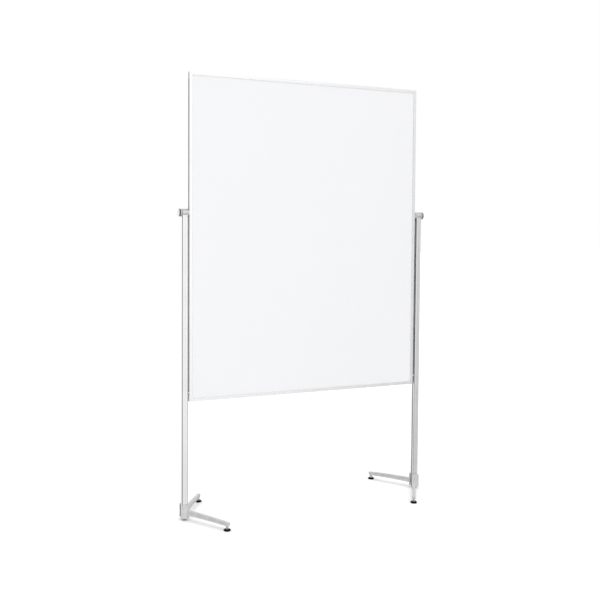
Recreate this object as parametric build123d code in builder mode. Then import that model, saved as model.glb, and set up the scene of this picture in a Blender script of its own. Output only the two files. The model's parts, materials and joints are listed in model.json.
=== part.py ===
from build123d import *

import os
from math import cos, radians, sin

# Double-sided whiteboard that hangs between two posts and slides up and down on them.
# Millimetres. X runs along the board, Y from front (-) to rear (+), Z up.
# The origin is on the floor, under the middle of the board.

# Board
BOARD_W = 1200
BOARD_H = 1500
BOARD_T = 20
BOARD_BOTTOM = 545
FRAME_FACE = 15
FRAME_EDGE_R = 1
MITRE_GAP = 0.3
PANEL_T = 16
SHEET_T = 0.5
PANEL_PLAY = 0.1
FRAME_WEB = 6.2

# T-slot in the outer edge of the frame
EDGE_LIP = 1.5
EDGE_MOUTH = 12.4
EDGE_CHANNEL = 16
EDGE_CHANNEL_DEPTH = 3.3
KEY_LEG = 30
KEY_PLAY = 0.2

# Clearances of fasteners in their holes
THREAD_PLAY = 0.05
SCREW_PLAY = 0.1
BOLT_PLAY = 0.15
WALL_HOLE_PLAY = 0.2
SOCKET_DEPTH = 2.5
THREAD_CHAMFER = 0.8

# Posts
POST = 28
POST_X = 621
POST_R = 4
POST_WALL = 2.2
POST_BOTTOM = 10.5
CORNER_SLIT_W = 2.2
CORNER_SLIT_DEPTH = 3.2
FACE_GROOVE_W = 2.4
FACE_GROOVE_DEPTH = 0.9
POST_LIP = 1.8
POST_MOUTH = 6
POST_CHANNEL = 10
POST_CHANNEL_DEPTH = 3.2
POST_SLOT_WALL = 1.5
CAVITY_CHAMFER = 5
PLUG_SKIRT = 2.2
PLUG_PLAY = 0.2

# Clamps at the post tops
CLAMP_Z = 1410
CLAMP_R = 17.5
HEAD_INNER_X = 602
HEAD_OUTER_X = 635
HEAD_EDGE_R = 1
STUB_LENGTH = 34
BOLT_R = 3
T_HEAD = 15.4
T_HEAD_CORNER_R = 1
SEAT_PLAY = 0.1
STUB_PLAY = 0.3
SET_SCREW_R = 2.4
SET_SCREW_L = 8.5
SET_SCREW_SUNK = 0.6
SET_SCREW_GAP = 0.5
SET_SCREW_CHAMFER = 0.4
SET_SOCKET_R = 1.45
SET_SCREW_Z = 1372
PAD_WASHER_R = 14
PAD_WASHER_GAP = 0.4
BOLT_HEAD_PLAY = 0.3
BOLT_END_X = 641
POST_TOP = CLAMP_Z - CLAMP_R / 2

# Knobs
KNOB_INNER_X = 635.4
RING_INNER_X = 641.8
RING_OUTER_X = 647.2
KNOB_OUTER_X = 650
KNOB_CHAMFER = 0.8
RING_CHAMFER = 0.5
RING_R = CLAMP_R - 0.4
RING_EDGE_R = 0.6
RING_SEAT_R = 14.5
INSERT_R = 4.7
INSERT_L = 6
INSERT_SUNK = 0.2
INSERT_PLAY = 0.08
INSERT_END_X = 641.8
SPIGOT_R = 6
SPIGOT_START_X = 642.6
CAP_FACE_R = 13
CAP_RIM = 1.4
CAP_BULGE = 0.6

# Lower guide between the board's edge and the post's slot
GUIDE_Z = BOARD_BOTTOM + 43
GUIDE_GAP = 0.3
GUIDE_W = 18
GUIDE_BLOCK_H = 6
GUIDE_TONGUE_H = 12
GUIDE_SCREW_R = 1.5
GUIDE_SCREW_HEAD_R = 2.7
GUIDE_SCREW_HEAD_H = 1.7
GUIDE_SCREW_TIP_GAP = 0.4
GUIDE_SOCKET_R = 1.2
GUIDE_SOCKET_DEPTH = 1.1
POST_FACE = POST_X - POST / 2
TONGUE_END = POST_FACE + POST_LIP + POST_CHANNEL_DEPTH - 2 * GUIDE_GAP

# Hub and legs
HUB_BOTTOM = 9
HUB_TOP = 71.5
FLANGE_HALF_W = 17.5
FLANGE_T = 8.5
FLANGE_STEP = 1.5
FLANGE_PAD_HALF_W = 11
FLANGE_R = 3
LEG_SPLAY = 33
LEG_REACH = 248
LEG_NOSE = 14
LEG_ROOT_W = 17
LEG_TIP_W = 17.5
LEG_ROOT_Z = (23, 46.5)
LEG_TIP_Z = (20.5, 37)
LEG_BOW = 2.4
LEG_SHOULDER = 0.74
LEG_SPANS = 4
NOSE_SLOPE = 0.4
BOSS_BOTTOM = 16
BOSS_TOP = 25
BOSS_BOTTOM_R = 6.5
BOSS_TOP_R = 8.8
LEG_BOLT_R = 2.5
LEG_BOLT_HEAD_R = 4.25
LEG_BOLT_HEAD_H = 5
LEG_BOLT_HEAD_PLAY = 0.3
LEG_BOLT_TIP_GAP = 2
LEG_SOCKET_R = 2.3
COUNTERBORE = 5.2
FLANGE_SKIN = 1.5
LEG_BOLT_Z = (16, 62)

# Levelling glides
PAD_R = 16
PAD_H = 8
PAD_BASE_R = 13.5
PAD_TOP_R = 11.5
PAD_RIM_Z = (2.8, 4.6)
PAD_BULGE = 0.7
PAD_RECESS_R = 8
PAD_FLOOR = 4
STUD_R = 4
STUD_TOP = 30
STUD_HOLE_PLAY = 0.06
STUD_HOLE_TOP = 35.8
HEX_AF = 13
HEX_TOP = 9.5

BOARD_MID_Z = BOARD_BOTTOM + BOARD_H / 2
BOARD_TOP = BOARD_BOTTOM + BOARD_H
SIDES = {"left": -1, "right": 1}
ENDS = {"front": -1, "rear": 1}


def save(builder, name):
    """Label a finished piece and write it as its own STEP file."""
    builder.part.label = name
    export_step(builder.part, f"parts/{name}.step")


# ---------------------------------------------------------------- board

def board_sheet(name, face):
    """Enamelled steel sheet on one face of the core; face is -1 at the front, 1 at the rear."""
    inset = FRAME_WEB + PANEL_PLAY
    middle_y = face * (PANEL_T - SHEET_T) / 2
    with BuildPart(Plane((0, middle_y, BOARD_MID_Z))) as sheet:
        Box(BOARD_W - 2 * inset, SHEET_T, BOARD_H - 2 * inset)
    save(sheet, name)


def board_core():
    """Honeycomb core between the two sheets."""
    inset = FRAME_WEB + PANEL_PLAY
    with BuildPart(Plane((0, 0, BOARD_MID_Z))) as core:
        Box(BOARD_W - 2 * inset, PANEL_T - 2 * SHEET_T, BOARD_H - 2 * inset)
    save(core, "board_core")


def frame_bar(name, outer_edge, length):
    """One mitred bar. The plane lies on the board's outer edge: X points outwards, Z along the bar."""
    pocket = FRAME_FACE - FRAME_WEB
    with BuildPart() as bar:
        with BuildSketch(outer_edge):
            with Locations((-FRAME_FACE / 2, 0)):
                RectangleRounded(FRAME_FACE, BOARD_T, FRAME_EDGE_R)
            with Locations((-FRAME_WEB - pocket / 2, 0)):
                Rectangle(pocket, PANEL_T + 2 * PANEL_PLAY, mode=Mode.SUBTRACT)
            with Locations((-EDGE_LIP / 2, 0)):
                Rectangle(EDGE_LIP, EDGE_MOUTH, mode=Mode.SUBTRACT)
            with Locations((-EDGE_LIP - EDGE_CHANNEL_DEPTH / 2, 0)):
                Rectangle(EDGE_CHANNEL_DEPTH, EDGE_CHANNEL, mode=Mode.SUBTRACT)
        extrude(amount=length / 2, both=True)
        for along in (1, -1):
            corner = outer_edge.origin + outer_edge.z_dir * (along * (length - MITRE_GAP) / 2)
            mitre = Plane(corner, z_dir=outer_edge.z_dir * along - outer_edge.x_dir)
            split(bisect_by=mitre, keep=Keep.BOTTOM)
    save(bar, name)


def frame():
    """The four mitred bars."""
    for name, side in SIDES.items():
        edge = Plane((side * BOARD_W / 2, 0, BOARD_MID_Z), x_dir=(side, 0, 0), z_dir=(0, 0, 1))
        frame_bar(f"frame_{name}", edge, BOARD_H)
    for name, height, up in (("top", BOARD_TOP, 1), ("bottom", BOARD_BOTTOM, -1)):
        edge = Plane((0, 0, height), x_dir=(0, 0, up), z_dir=(1, 0, 0))
        frame_bar(f"frame_{name}", edge, BOARD_W)


def corner_keys():
    """Four flat L-shaped keys that lie in the edge channels and join the mitres."""
    width = EDGE_CHANNEL - 2 * KEY_PLAY
    thickness = EDGE_CHANNEL_DEPTH - 2 * KEY_PLAY
    outer_x = BOARD_W / 2 - EDGE_LIP - KEY_PLAY
    outer_z = BOARD_H / 2 - EDGE_LIP - KEY_PLAY
    with BuildPart() as keys:
        with BuildSketch(Plane.XZ.offset(-width / 2)):
            for side in (-1, 1):
                for up in (-1, 1):
                    level = (side * (outer_x - KEY_LEG / 2), BOARD_MID_Z + up * (outer_z - thickness / 2))
                    upright = (side * (outer_x - thickness / 2), BOARD_MID_Z + up * (outer_z - KEY_LEG / 2))
                    with Locations(level):
                        Rectangle(KEY_LEG, thickness)
                    with Locations(upright):
                        Rectangle(thickness, KEY_LEG)
        extrude(amount=width)
    save(keys, "corner_keys")


def guide_slider(name, side):
    """Slider on the board's edge whose T-shaped tongue runs in the post's slot."""
    board_edge = BOARD_W / 2
    block_end = POST_FACE - GUIDE_GAP
    neck_end = POST_FACE + POST_LIP + GUIDE_GAP
    with BuildPart() as slider:
        with BuildSketch(Plane.XY.offset(GUIDE_Z)):
            with Locations((side * (board_edge + block_end) / 2, 0)):
                Rectangle(block_end - board_edge, GUIDE_W)
        extrude(amount=GUIDE_BLOCK_H / 2, both=True)
        with BuildSketch(Plane.XY.offset(GUIDE_Z)):
            with Locations((side * (block_end + neck_end) / 2, 0)):
                Rectangle(neck_end - block_end, POST_MOUTH - 2 * GUIDE_GAP)
            with Locations((side * (neck_end + TONGUE_END) / 2, 0)):
                Rectangle(TONGUE_END - neck_end, POST_CHANNEL - 2 * GUIDE_GAP)
        extrude(amount=GUIDE_TONGUE_H / 2, both=True)
        with Locations(Plane((side * TONGUE_END, 0, GUIDE_Z), z_dir=(side, 0, 0))):
            CounterBoreHole(
                GUIDE_SCREW_R + SCREW_PLAY, GUIDE_SCREW_HEAD_R + 2 * SCREW_PLAY,
                GUIDE_SCREW_HEAD_H + 2 * SCREW_PLAY,
            )
    save(slider, name)


def guide_screws():
    """One screw through each slider, with a hexagon socket in its head."""
    head_top = TONGUE_END - SCREW_PLAY
    tip = BOARD_W / 2 - EDGE_LIP - EDGE_CHANNEL_DEPTH + GUIDE_SCREW_TIP_GAP
    with BuildPart() as screws:
        for side in SIDES.values():
            top = Plane((side * head_top, 0, GUIDE_Z), z_dir=(side, 0, 0))
            with BuildSketch(top):
                Circle(GUIDE_SCREW_HEAD_R)
            extrude(amount=-GUIDE_SCREW_HEAD_H)
            with BuildSketch(top):
                Circle(GUIDE_SCREW_R)
            extrude(amount=tip - head_top)
            with BuildSketch(top):
                RegularPolygon(GUIDE_SOCKET_R, 6)
            extrude(amount=-GUIDE_SOCKET_DEPTH, mode=Mode.SUBTRACT)
    save(screws, "guide_screws")


def guide_nuts():
    """Two T-nuts that lie in the board's edge channels behind the sliders."""
    thickness = EDGE_CHANNEL_DEPTH - 2 * GUIDE_GAP
    middle_x = BOARD_W / 2 - EDGE_LIP - EDGE_CHANNEL_DEPTH / 2
    with BuildPart() as nuts:
        for side in SIDES.values():
            with Locations((side * middle_x, 0, GUIDE_Z)):
                Box(thickness, EDGE_CHANNEL - 2 * GUIDE_GAP, T_HEAD)
            with Locations(Plane((side * (middle_x + thickness / 2), 0, GUIDE_Z), z_dir=(side, 0, 0))):
                Hole(GUIDE_SCREW_R + THREAD_PLAY, depth=thickness)
    save(nuts, "guide_nuts")


# ---------------------------------------------------------------- stand

def post_plane(side, height):
    """Plane across a post, with X towards the board."""
    return Plane((side * POST_X, 0, height), x_dir=(-side, 0, 0), z_dir=(0, 0, 1))


def cavity(side, height, play=0):
    """Outline of the post's hollow, smaller all round by play; it is one side of the slot wide."""
    outer = -POST / 2 + POST_WALL + play
    inner = POST / 2 - POST_LIP - POST_CHANNEL_DEPTH - POST_SLOT_WALL - play
    with BuildSketch(post_plane(side, height)) as outline:
        with Locations(((outer + inner) / 2, 0)):
            Rectangle(inner - outer, POST - 2 * POST_WALL - 2 * play)
        chamfer(outline.vertices(), CAVITY_CHAMFER)
    return outline.sketch


def post_section(side, height):
    """Square with rounded corners, slit at each corner, grooved front and rear."""
    arc_middle = (POST / 2 - POST_R) * 2 ** 0.5 + POST_R
    with BuildSketch(post_plane(side, height)) as section:
        RectangleRounded(POST, POST, POST_R)
        with PolarLocations(arc_middle, 4, start_angle=45):
            Rectangle(2 * CORNER_SLIT_DEPTH, CORNER_SLIT_W, mode=Mode.SUBTRACT)
        with Locations((0, POST / 2), (0, -POST / 2)):
            Rectangle(FACE_GROOVE_W, 2 * FACE_GROOVE_DEPTH, mode=Mode.SUBTRACT)
    return section.sketch


def post(name, side):
    """Extruded post, coped at the top to fit under the round clamp head."""
    length = POST_TOP - POST_BOTTOM
    with BuildPart() as tube:
        add(post_section(side, POST_BOTTOM))
        extrude(amount=length)
        add(cavity(side, POST_BOTTOM))
        extrude(amount=length, mode=Mode.SUBTRACT)
        with BuildSketch(post_plane(side, POST_BOTTOM)):
            with Locations((POST / 2 - POST_LIP / 2, 0)):
                Rectangle(POST_LIP, POST_MOUTH)
            with Locations((POST / 2 - POST_LIP - POST_CHANNEL_DEPTH / 2, 0)):
                Rectangle(POST_CHANNEL_DEPTH, POST_CHANNEL)
        extrude(amount=length, mode=Mode.SUBTRACT)
        with Locations((side * POST_X, 0, CLAMP_Z)):
            Cylinder(CLAMP_R + SEAT_PLAY, 2 * POST, rotation=(0, 90, 0), mode=Mode.SUBTRACT)
        for height in LEG_BOLT_Z:
            with Locations(Plane((side * POST_X, POST / 2, height), z_dir=(0, 1, 0))):
                Hole(LEG_BOLT_R + WALL_HOLE_PLAY, depth=POST)
        with Locations(Plane((side * POST_X, POST / 2, SET_SCREW_Z), z_dir=(0, 1, 0))):
            Hole(SET_SCREW_R + WALL_HOLE_PLAY, depth=POST / 2)
    save(tube, name)


def post_plug(name, side):
    """Plastic plug that closes the post's lower end."""
    with BuildPart() as plug:
        with BuildSketch(post_plane(side, HUB_BOTTOM)):
            RectangleRounded(POST, POST, POST_R)
        extrude(amount=POST_BOTTOM - HUB_BOTTOM)
        add(cavity(side, POST_BOTTOM, PLUG_PLAY))
        extrude(amount=PLUG_SKIRT)
    save(plug, name)


def clamp_head(name, side):
    """Round head on the coped post top, with a stub inside the post and a bore for the clamp bolt."""
    length = HEAD_OUTER_X - HEAD_INNER_X
    with BuildPart() as head:
        with BuildSketch(Plane((side * HEAD_INNER_X, 0, CLAMP_Z), z_dir=(side, 0, 0))):
            Circle(CLAMP_R)
        extrude(amount=length)
        fillet(head.edges().filter_by(GeomType.CIRCLE), HEAD_EDGE_R)
        add(cavity(side, CLAMP_Z - CLAMP_R - STUB_LENGTH, STUB_PLAY))
        extrude(amount=STUB_LENGTH + CLAMP_R / 2)
        with Locations(Plane((side * HEAD_OUTER_X, 0, CLAMP_Z), z_dir=(side, 0, 0))):
            Hole(BOLT_R + BOLT_PLAY, depth=length)
        with Locations(Plane((side * POST_X, POST / 2, SET_SCREW_Z), z_dir=(0, 1, 0))):
            Hole(SET_SCREW_R + THREAD_PLAY, depth=SET_SCREW_SUNK + SET_SCREW_L + SET_SCREW_GAP)
    save(head, name)


def clamp_set_screw(name, side):
    """Socket set screw through the post's rear wall into the head's stub."""
    start = Plane((side * POST_X, POST / 2 - SET_SCREW_SUNK, SET_SCREW_Z), z_dir=(0, 1, 0))
    with BuildPart() as screw:
        with BuildSketch(start):
            Circle(SET_SCREW_R)
        extrude(amount=-SET_SCREW_L)
        chamfer(screw.edges().filter_by(GeomType.CIRCLE), SET_SCREW_CHAMFER)
        with BuildSketch(start):
            RegularPolygon(SET_SOCKET_R, 6)
        extrude(amount=-SOCKET_DEPTH, mode=Mode.SUBTRACT)
    save(screw, name)


def clamp_pad(name, side):
    """Plastic friction washer between the head and the edge of the board."""
    inner_x = BOARD_W / 2 + PAD_WASHER_GAP
    with BuildPart() as pad:
        with BuildSketch(Plane((side * inner_x, 0, CLAMP_Z), z_dir=(side, 0, 0))):
            Circle(PAD_WASHER_R)
            Circle(BOLT_R + 2 * BOLT_PLAY, mode=Mode.SUBTRACT)
        extrude(amount=HEAD_INNER_X - inner_x)
    save(pad, name)


def clamp_bolt(name, side):
    """Bolt whose square head runs in the board's edge channel; the knob turns on its thread."""
    head_start = BOARD_W / 2 - EDGE_LIP - EDGE_CHANNEL_DEPTH + BOLT_HEAD_PLAY
    head_end = BOARD_W / 2 - EDGE_LIP - BOLT_HEAD_PLAY
    with BuildPart() as bolt:
        with BuildSketch(Plane((side * head_start, 0, CLAMP_Z), z_dir=(side, 0, 0))):
            RectangleRounded(T_HEAD, T_HEAD, T_HEAD_CORNER_R)
        extrude(amount=head_end - head_start)
        with BuildSketch(Plane((side * head_end, 0, CLAMP_Z), z_dir=(side, 0, 0))):
            Circle(BOLT_R)
        extrude(amount=BOLT_END_X - head_end)
        chamfer(bolt.faces().sort_by(Axis.X)[0 if side < 0 else -1].edges(), THREAD_CHAMFER)
    save(bolt, name)


# ---------------------------------------------------------------- knobs

def knob_profile_plane(side):
    """Half-section plane of a knob: X outwards along the clamp's axis, Y away from it."""
    return Plane((0, 0, CLAMP_Z), x_dir=(side, 0, 0), z_dir=(0, -side, 0))


def knob_body(name, side):
    """Knob with a step for the grip ring and a recess for the cap's spigot."""
    with BuildPart() as knob:
        with BuildSketch(knob_profile_plane(side)):
            with BuildLine():
                Polyline(
                    (KNOB_INNER_X, INSERT_R), (KNOB_INNER_X, CLAMP_R - KNOB_CHAMFER),
                    (KNOB_INNER_X + KNOB_CHAMFER, CLAMP_R),
                    (RING_INNER_X - RING_CHAMFER, CLAMP_R), (RING_INNER_X, CLAMP_R - RING_CHAMFER),
                    (RING_INNER_X, RING_SEAT_R), (RING_OUTER_X, RING_SEAT_R),
                    (RING_OUTER_X, SPIGOT_R), (INSERT_END_X, SPIGOT_R), (INSERT_END_X, INSERT_R), close=True,
                )
            make_face()
        revolve(axis=Axis((0, 0, CLAMP_Z), (1, 0, 0)))
    save(knob, name)


def knob_insert(name, side):
    """Threaded brass insert pressed into the knob."""
    with BuildPart() as insert:
        with BuildSketch(Plane((side * (KNOB_INNER_X + INSERT_SUNK), 0, CLAMP_Z), z_dir=(side, 0, 0))):
            Circle(INSERT_R)
            Circle(BOLT_R + INSERT_PLAY, mode=Mode.SUBTRACT)
        extrude(amount=INSERT_L)
    save(insert, name)


def knob_grip_ring(name, side):
    """Rubber ring on the step between the knob and its cap."""
    with BuildPart() as ring:
        with BuildSketch(Plane((side * RING_INNER_X, 0, CLAMP_Z), z_dir=(side, 0, 0))):
            Circle(RING_R)
            Circle(RING_SEAT_R, mode=Mode.SUBTRACT)
        extrude(amount=RING_OUTER_X - RING_INNER_X)
        outer = ring.edges().filter_by(GeomType.CIRCLE).group_by(SortBy.RADIUS)[-1]
        fillet(outer, RING_EDGE_R)
    save(ring, name)


def knob_cap(name, side):
    """End cap with a rounded rim and a spigot in the knob."""
    rim_start = RING_OUTER_X + CAP_RIM
    with BuildPart() as cap:
        with BuildSketch(knob_profile_plane(side)):
            with BuildLine():
                Polyline(
                    (KNOB_OUTER_X, CAP_FACE_R), (KNOB_OUTER_X, 0), (SPIGOT_START_X, 0),
                    (SPIGOT_START_X, SPIGOT_R), (RING_OUTER_X, SPIGOT_R),
                    (RING_OUTER_X, CLAMP_R), (rim_start, CLAMP_R),
                )
                ThreePointArc(
                    (rim_start, CLAMP_R), (KNOB_OUTER_X - CAP_BULGE, CLAMP_R - CAP_RIM),
                    (KNOB_OUTER_X, CAP_FACE_R),
                )
            make_face()
        revolve(axis=Axis((0, 0, CLAMP_Z), (1, 0, 0)))
    save(cap, name)


# ---------------------------------------------------------------- legs

def leg_direction(side, end):
    """Horizontal unit vector from the post along a leg, splayed towards the board's middle."""
    return Vector(-side * sin(radians(LEG_SPLAY)), end * cos(radians(LEG_SPLAY)), 0)


def leg_section(side, end, share):
    """Six-sided section with a ridge half-way up; share runs from 0 at the post to 1 at the nose."""
    along = leg_direction(side, end)
    bow = 4 * LEG_BOW * share * (1 - share)
    low = LEG_ROOT_Z[0] + (LEG_TIP_Z[0] - LEG_ROOT_Z[0]) * share + bow
    high = LEG_ROOT_Z[1] + (LEG_TIP_Z[1] - LEG_ROOT_Z[1]) * share + bow
    half = (LEG_ROOT_W + (LEG_TIP_W - LEG_ROOT_W) * share) / 2
    shoulder = half * LEG_SHOULDER
    ridge = (low + high) / 2
    start = Vector(side * POST_X, 0, 0) + along * (share * (LEG_REACH + LEG_NOSE))
    with BuildSketch(Plane(start, x_dir=Vector(0, 0, 1).cross(along), z_dir=along)) as section:
        with BuildLine():
            Polyline(
                (-shoulder, low), (-half, ridge), (-shoulder, high),
                (shoulder, high), (half, ridge), (shoulder, low), close=True,
            )
        make_face()
    return section.sketch


def flange_footprint(side, end):
    """Outline of a leg's flange from above: rounded outer corners and a raised middle."""
    face_y = end * POST / 2
    step_y = face_y + end * (FLANGE_T - FLANGE_STEP)
    with BuildSketch(Plane.XY.offset(HUB_BOTTOM)) as footprint:
        with Locations((side * POST_X, (face_y + step_y) / 2)):
            Rectangle(2 * FLANGE_HALF_W, FLANGE_T - FLANGE_STEP)
        fillet(footprint.vertices().group_by(Axis.Y)[-1 if end > 0 else 0], FLANGE_R)
        with Locations((side * POST_X, step_y)):
            Polygon(
                (-FLANGE_PAD_HALF_W - FLANGE_STEP, 0), (-FLANGE_PAD_HALF_W, end * FLANGE_STEP),
                (FLANGE_PAD_HALF_W, end * FLANGE_STEP), (FLANGE_PAD_HALF_W + FLANGE_STEP, 0), align=None,
            )
    return footprint.sketch


def leg(name, side, end):
    """Cast leg: a flange on the post's face, a bowed tapering arm and a boss for the glide's stud."""
    along = leg_direction(side, end)
    nose = Vector(side * POST_X, 0, 0) + along * (LEG_REACH + LEG_NOSE)
    stud = Vector(side * POST_X, 0, 0) + along * LEG_REACH
    face_y = end * POST / 2
    with BuildPart() as casting:
        loft([leg_section(side, end, span / LEG_SPANS) for span in range(LEG_SPANS + 1)])
        slope = Plane(nose + Vector(0, 0, LEG_TIP_Z[1]), z_dir=along - Vector(0, 0, NOSE_SLOPE))
        split(bisect_by=slope, keep=Keep.BOTTOM)
        with Locations(stud + Vector(0, 0, (BOSS_BOTTOM + BOSS_TOP) / 2)):
            Cone(BOSS_BOTTOM_R, BOSS_TOP_R, BOSS_TOP - BOSS_BOTTOM)
        split(bisect_by=Plane((0, face_y, 0), z_dir=(0, end, 0)), keep=Keep.TOP)
        add(flange_footprint(side, end))
        extrude(amount=HUB_TOP - HUB_BOTTOM)
        with Locations(stud + Vector(0, 0, BOSS_BOTTOM)):
            Cylinder(
                STUD_R + STUD_HOLE_PLAY, STUD_HOLE_TOP - BOSS_BOTTOM,
                align=(Align.CENTER, Align.CENTER, Align.MIN), mode=Mode.SUBTRACT,
            )
        for height in LEG_BOLT_Z:
            if end > 0:
                with Locations(Plane((side * POST_X, face_y + FLANGE_T, height), z_dir=(0, 1, 0))):
                    CounterBoreHole(
                        LEG_BOLT_R + SCREW_PLAY, LEG_BOLT_HEAD_R + LEG_BOLT_HEAD_PLAY,
                        COUNTERBORE, depth=FLANGE_T,
                    )
            else:
                with Locations(Plane((side * POST_X, face_y, height), z_dir=(0, 1, 0))):
                    Hole(LEG_BOLT_R + THREAD_PLAY, depth=FLANGE_T - FLANGE_SKIN)
    save(casting, name)


def leg_bolts(name, side):
    """Two socket bolts from the rear flange through the post into the front flange."""
    head_seat = POST / 2 + FLANGE_T - COUNTERBORE
    tip = -POST / 2 - FLANGE_T + LEG_BOLT_TIP_GAP
    with BuildPart() as bolts:
        for height in LEG_BOLT_Z:
            seat = Plane((side * POST_X, head_seat, height), z_dir=(0, 1, 0))
            with BuildSketch(seat):
                Circle(LEG_BOLT_R)
            extrude(amount=tip - head_seat)
            with BuildSketch(seat):
                Circle(LEG_BOLT_HEAD_R)
            extrude(amount=LEG_BOLT_HEAD_H)
            with BuildSketch(seat.offset(LEG_BOLT_HEAD_H)):
                RegularPolygon(LEG_SOCKET_R, 6)
            extrude(amount=-SOCKET_DEPTH, mode=Mode.SUBTRACT)
    save(bolts, name)


# ---------------------------------------------------------------- levelling glides

def glide_axis(side, end):
    """Point on the floor under a leg's stud."""
    return Vector(side * POST_X, 0, 0) + leg_direction(side, end) * LEG_REACH


def glide_pad(name, side, end):
    """Round plastic foot with a recess for the stud's hexagonal base."""
    centre = glide_axis(side, end)
    with BuildPart() as pad:
        with BuildSketch(Plane(centre, x_dir=(1, 0, 0), z_dir=(0, -1, 0))):
            with BuildLine():
                Polyline((0, PAD_FLOOR), (0, 0), (PAD_BASE_R, 0))
                SagittaArc((PAD_BASE_R, 0), (PAD_R, PAD_RIM_Z[0]), -PAD_BULGE)
                Line((PAD_R, PAD_RIM_Z[0]), (PAD_R, PAD_RIM_Z[1]))
                SagittaArc((PAD_R, PAD_RIM_Z[1]), (PAD_TOP_R, PAD_H), -PAD_BULGE)
                Polyline(
                    (PAD_TOP_R, PAD_H), (PAD_RECESS_R, PAD_H), (PAD_RECESS_R, PAD_FLOOR), (0, PAD_FLOOR),
                )
            make_face()
        revolve(axis=Axis(centre, (0, 0, 1)))
    save(pad, name)


def glide_stud(name, side, end):
    """Threaded stud with a hexagonal base that sits in the pad."""
    centre = glide_axis(side, end)
    with BuildPart() as stud:
        with BuildSketch(Plane(centre + Vector(0, 0, PAD_FLOOR))):
            RegularPolygon(HEX_AF / 2, 6, major_radius=False)
        extrude(amount=HEX_TOP - PAD_FLOOR)
        with BuildSketch(Plane(centre + Vector(0, 0, HEX_TOP))):
            Circle(STUD_R)
        extrude(amount=STUD_TOP - HEX_TOP)
        chamfer(stud.faces().sort_by(Axis.Z)[-1].edges(), THREAD_CHAMFER)
    save(stud, name)


def main():
    os.makedirs("parts", exist_ok=True)
    board_sheet("front_sheet", -1)
    board_sheet("rear_sheet", 1)
    board_core()
    frame()
    corner_keys()
    guide_screws()
    guide_nuts()
    for side_name, side in SIDES.items():
        guide_slider(f"guide_slider_{side_name}", side)
        post(f"post_{side_name}", side)
        post_plug(f"post_plug_{side_name}", side)
        clamp_head(f"clamp_head_{side_name}", side)
        clamp_set_screw(f"clamp_set_screw_{side_name}", side)
        clamp_pad(f"clamp_pad_{side_name}", side)
        clamp_bolt(f"clamp_bolt_{side_name}", side)
        knob_body(f"knob_body_{side_name}", side)
        knob_insert(f"knob_insert_{side_name}", side)
        knob_grip_ring(f"knob_grip_ring_{side_name}", side)
        knob_cap(f"knob_cap_{side_name}", side)
        leg_bolts(f"leg_bolts_{side_name}", side)
        for end_name, end in ENDS.items():
            leg(f"leg_{side_name}_{end_name}", side, end)
            glide_pad(f"glide_pad_{side_name}_{end_name}", side, end)
            glide_stud(f"glide_stud_{side_name}_{end_name}", side, end)


main()
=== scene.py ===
import json
from math import cos, pi, radians, sin, tan

import bpy
from mathutils import Matrix, Vector


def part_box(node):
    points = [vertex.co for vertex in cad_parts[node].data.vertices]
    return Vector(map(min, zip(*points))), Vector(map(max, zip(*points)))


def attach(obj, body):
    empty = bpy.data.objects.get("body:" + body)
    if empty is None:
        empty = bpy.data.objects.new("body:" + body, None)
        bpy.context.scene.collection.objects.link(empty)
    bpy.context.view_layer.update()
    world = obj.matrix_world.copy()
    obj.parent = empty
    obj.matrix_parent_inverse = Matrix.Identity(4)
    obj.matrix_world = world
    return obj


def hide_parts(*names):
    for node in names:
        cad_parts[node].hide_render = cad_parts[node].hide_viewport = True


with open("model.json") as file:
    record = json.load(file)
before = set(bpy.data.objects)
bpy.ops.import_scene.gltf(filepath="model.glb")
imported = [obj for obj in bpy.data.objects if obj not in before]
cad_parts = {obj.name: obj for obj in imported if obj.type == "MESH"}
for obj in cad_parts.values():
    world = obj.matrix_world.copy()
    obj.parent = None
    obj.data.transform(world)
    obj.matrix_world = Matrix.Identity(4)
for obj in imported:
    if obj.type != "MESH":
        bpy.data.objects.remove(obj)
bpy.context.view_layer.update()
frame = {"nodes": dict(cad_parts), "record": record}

# Double-sided whiteboard between two posts on cast legs. Metres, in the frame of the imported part:
# +X along the board, +Y from front to rear, +Z up, origin on the floor under the board's middle.

MM = 0.001
SIDES = {"left": -1, "right": 1}
ENDS = {"front": -1, "rear": 1}
NODES = frame["nodes"]


# ---------------------------------------------------------------- materials

def new_material(name, **values):
    """A node material with one Principled shader; values are numbers for its own sockets."""
    made = bpy.data.materials.new(name)
    made.use_nodes = True
    shader = made.node_tree.nodes["Principled BSDF"]
    for socket, value in values.items():
        shader.inputs[socket.replace("_", " ")].default_value = value
    return made, made.node_tree, shader


def connect(tree, socket, value):
    """Links a socket to another node's output, or sets it to a value."""
    if isinstance(value, bpy.types.NodeSocket):
        tree.links.new(value, socket)
    else:
        socket.default_value = value


def add_node(tree, kind, settings=None, **inputs):
    """A node with its settings and inputs; an input is a value or another node's output."""
    node = tree.nodes.new(kind)
    for key, value in (settings or {}).items():
        setattr(node, key, value)
    for key, value in inputs.items():
        connect(tree, node.inputs[key.replace("_", " ")], value)
    return node


def noise(tree, scale, detail, stretch=(1, 1, 1), turn=(0, 0, 0), roughness=0.5):
    """Noise from 0 to 1 in object space; scale is in waves per metre."""
    place = add_node(tree, "ShaderNodeTexCoord").outputs["Object"]
    mapped = add_node(tree, "ShaderNodeMapping", Vector=place, Scale=stretch, Rotation=turn)
    texture = add_node(
        tree, "ShaderNodeTexNoise", Vector=mapped.outputs["Vector"],
        Scale=scale, Detail=detail, Roughness=roughness,
    )
    return texture.outputs["Fac"]


def spread(tree, value, low, high, out_low, out_high):
    """Maps low..high to out_low..out_high, clamped and smooth."""
    node = add_node(
        tree, "ShaderNodeMapRange", {"interpolation_type": "SMOOTHSTEP"},
        **{"Value": value, "From Min": low, "From Max": high, "To Min": out_low, "To Max": out_high},
    )
    return node.outputs["Result"]


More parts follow.
